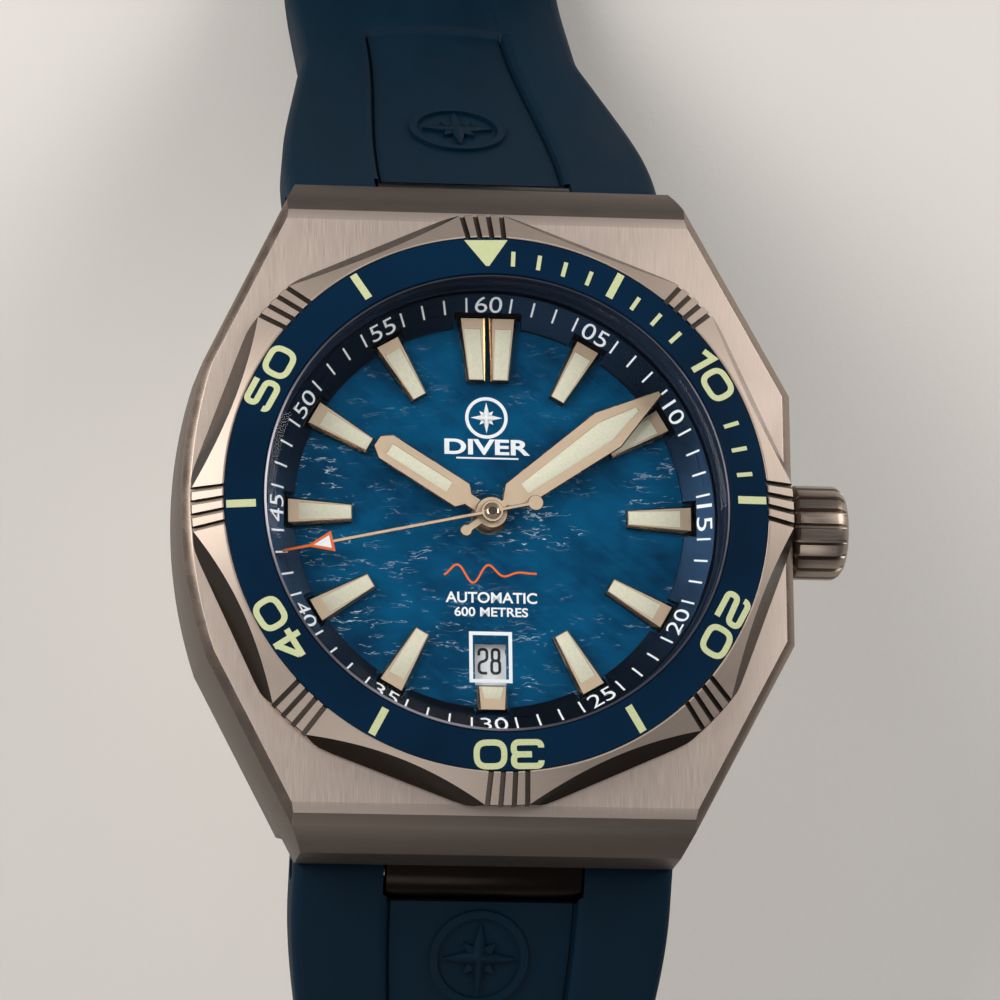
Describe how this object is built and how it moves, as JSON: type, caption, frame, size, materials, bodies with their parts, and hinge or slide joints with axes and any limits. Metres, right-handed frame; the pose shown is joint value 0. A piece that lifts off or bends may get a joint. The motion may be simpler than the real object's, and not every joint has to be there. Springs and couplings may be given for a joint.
{
  "type": "dive watch",
  "caption": "Automatic dive watch with a faceted turning bezel, domed crystal, lumed hands and markers, date window, fluted crown and an open rubber strap with a pin buckle.",
  "frame": {"origin": "centre of the case back's outer flat face", "axes": "+Z out of the dial, +Y towards 12 o'clock, +X towards the crown at 3 o'clock"},
  "size_m": [0.0486, 0.2257, 0.0451],
  "materials": {
    "steel_case": "brushed top and slopes, polished chamfers, stainless steel with a warm cast",
    "steel_bezel": "brushed cone with polished facets and grooves, stainless steel",
    "steel_crown": "fluted, satin stainless steel",
    "steel_polished": "polished stainless steel",
    "steel_movement": "plated movement part",
    "spring_steel": "hardened spring steel",
    "brass": "turned brass",
    "champagne_steel": "brushed with bevelled edges, champagne plating, lume filled",
    "sapphire": "clear domed sapphire",
    "ceramic_blue": "glossy deep blue ceramic with pale lume marks",
    "dial_blue": "textured mother-of-pearl blue lacquer",
    "chapter_blue": "satin navy with white print",
    "date_white": "printed white disc",
    "holder_plastic": "moulded nylon",
    "crystal_seal": "moulded nylon",
    "seal": "nitrile seal",
    "strap_rubber": "matt moulded dark teal blue rubber"
  },
  "bodies": {
    "case": {"case_middle": "steel_case", "case_back": "steel_case", "case_back_gasket": "seal", "crown_tube": "steel_case", "upper_lug_bar": "steel_polished", "lower_lug_bar": "steel_polished", "crystal": "sapphire", "crystal_gasket": "crystal_seal", "bezel_click_spring": "spring_steel", "dial": "dial_blue", "chapter_ring": "chapter_blue", "marker_12_left": "champagne_steel", "marker_12_right": "champagne_steel", "marker_01": "champagne_steel", "marker_02": "champagne_steel", "marker_03": "champagne_steel", "marker_04": "champagne_steel", "marker_05": "champagne_steel", "marker_06": "champagne_steel", "marker_07": "champagne_steel", "marker_08": "champagne_steel", "marker_09": "champagne_steel", "marker_10": "champagne_steel", "marker_11": "champagne_steel", "movement_holder": "holder_plastic", "main_plate": "brass", "barrel_bridge": "steel_movement", "train_bridge": "steel_movement", "balance_cock": "steel_movement", "hairspring": "spring_steel", "rotor_bearing": "steel_movement"},
    "bezel": {"bezel_ring": "steel_bezel", "bezel_insert": "ceramic_blue", "bezel_gasket": "seal"},
    "minute_hand": {"minute_hand": "champagne_steel", "cannon_pinion": "spring_steel"},
    "minute_wheel": {"minute_wheel": "brass"},
    "hour_hand": {"hour_hand": "champagne_steel", "hour_wheel": "brass"},
    "second_hand": {"second_hand": "champagne_steel", "fourth_wheel": "brass"},
    "third_wheel": {"third_wheel": "brass"},
    "escape_wheel": {"escape_wheel": "spring_steel"},
    "barrel": {"mainspring_barrel": "brass"},
    "ratchet_wheel": {"ratchet_wheel": "steel_movement"},
    "pallet_fork": {"pallet_fork": "spring_steel"},
    "balance_wheel": {"balance_wheel": "brass"},
    "date_wheel": {"date_wheel": "date_white"},
    "rotor": {"rotor": "steel_movement"},
    "clutch": {"sliding_pinion": "spring_steel"},
    "crown": {"crown": "steel_crown", "crown_gasket": "seal", "winding_stem": "steel_movement"},
    "strap_upper": {"strap_upper": "strap_rubber", "fixed_keeper": "strap_rubber", "buckle_pin": "steel_polished"},
    "free_keeper": {"free_keeper": "strap_rubber"},
    "strap_lower": {"strap_lower": "strap_rubber"},
    "buckle_frame": {"buckle_frame": "steel_case"},
    "buckle_tongue": {"buckle_tongue": "steel_case"}
  },
  "joints": [
    {"name": "bezel_turn", "type": "hinge", "parent": "case", "child": "bezel", "pos_m": [0, 0, 0], "axis": [0, 0, 1], "continuous": true},
    {"name": "minute_hand_turn", "type": "hinge", "parent": "case", "child": "minute_hand", "pos_m": [0, 0, 0], "axis": [0, 0, 1], "continuous": true},
    {"name": "hour_hand_turn", "type": "hinge", "parent": "case", "child": "hour_hand", "pos_m": [0, 0, 0], "axis": [0, 0, 1], "continuous": true},
    {"name": "minute_wheel_turn", "type": "hinge", "parent": "case", "child": "minute_wheel", "pos_m": [-0.0026, 0.00234, 0], "axis": [0, 0, 1], "continuous": true},
    {"name": "second_hand_turn", "type": "hinge", "parent": "case", "child": "second_hand", "pos_m": [0, 0, 0], "axis": [0, 0, 1], "continuous": true},
    {"name": "third_wheel_turn", "type": "hinge", "parent": "case", "child": "third_wheel", "pos_m": [0.0044, 0.0034, 0], "axis": [0, 0, 1], "continuous": true},
    {"name": "escape_wheel_turn", "type": "hinge", "parent": "case", "child": "escape_wheel", "pos_m": [-0.001, -0.00408, 0], "axis": [0, 0, 1], "continuous": true},
    {"name": "barrel_turn", "type": "hinge", "parent": "case", "child": "barrel", "pos_m": [-0.006, 0.0058, 0], "axis": [0, 0, 1], "continuous": true},
    {"name": "ratchet_wheel_turn", "type": "hinge", "parent": "case", "child": "ratchet_wheel", "pos_m": [-0.006, 0.0058, 0], "axis": [0, 0, 1], "continuous": true},
    {"name": "pallet_fork_swing", "type": "hinge", "parent": "case", "child": "pallet_fork", "pos_m": [-0.0036, -0.0059, 0], "axis": [0, 0, 1], "range_deg": [-8, 8]},
    {"name": "balance_swing", "type": "hinge", "parent": "case", "child": "balance_wheel", "pos_m": [-0.0064, -0.007, 0], "axis": [0, 0, 1], "range_deg": [-270, 270], "stiffness_Nm_per_rad": 0.0000006},
    {"name": "date_wheel_turn", "type": "hinge", "parent": "case", "child": "date_wheel", "pos_m": [0, 0, 0], "axis": [0, 0, 1], "continuous": true},
    {"name": "rotor_spin", "type": "hinge", "parent": "case", "child": "rotor", "pos_m": [0, 0, 0], "axis": [0, 0, 1], "continuous": true},
    {"name": "crown_turn", "type": "hinge", "parent": "case", "child": "clutch", "pos_m": [0.0063, 0, 0.0061], "axis": [1, 0, 0], "continuous": true},
    {"name": "crown_pull", "type": "slide", "parent": "clutch", "child": "crown", "axis": [1, 0, 0], "range_m": [0, 0.0022]},
    {"name": "strap_upper_hinge", "type": "hinge", "parent": "case", "child": "strap_upper", "pos_m": [0, 0.0246, 0.00225], "axis": [1, 0, 0], "range_deg": [-12, 42]},
    {"name": "strap_lower_hinge", "type": "hinge", "parent": "case", "child": "strap_lower", "pos_m": [0, -0.0246, 0.00225], "axis": [-1, 0, 0], "range_deg": [-26, 28]},
    {"name": "buckle_frame_hinge", "type": "hinge", "parent": "strap_upper", "child": "buckle_frame", "pos_m": [0, 0.09093, -0.02765], "axis": [-1, 0, 0], "range_deg": [-60, 75]},
    {"name": "buckle_tongue_hinge", "type": "hinge", "parent": "buckle_frame", "child": "buckle_tongue", "pos_m": [0, 0.09093, -0.02765], "axis": [1, 0, 0], "range_deg": [0, 70]},
    {"name": "free_keeper_slide", "type": "slide", "parent": "strap_upper", "child": "free_keeper", "axis": [0, 1, 0], "range_m": [-0.0045, 0.0035]}
  ],
  "couplings": [
    {"joint": "hour_hand_turn", "follows": "minute_hand_turn", "ratio": 0.083333},
    {"joint": "minute_wheel_turn", "follows": "minute_hand_turn", "ratio": -0.33333},
    {"joint": "third_wheel_turn", "follows": "second_hand_turn", "ratio": -0.14286},
    {"joint": "escape_wheel_turn", "follows": "second_hand_turn", "ratio": -8}
  ]
}
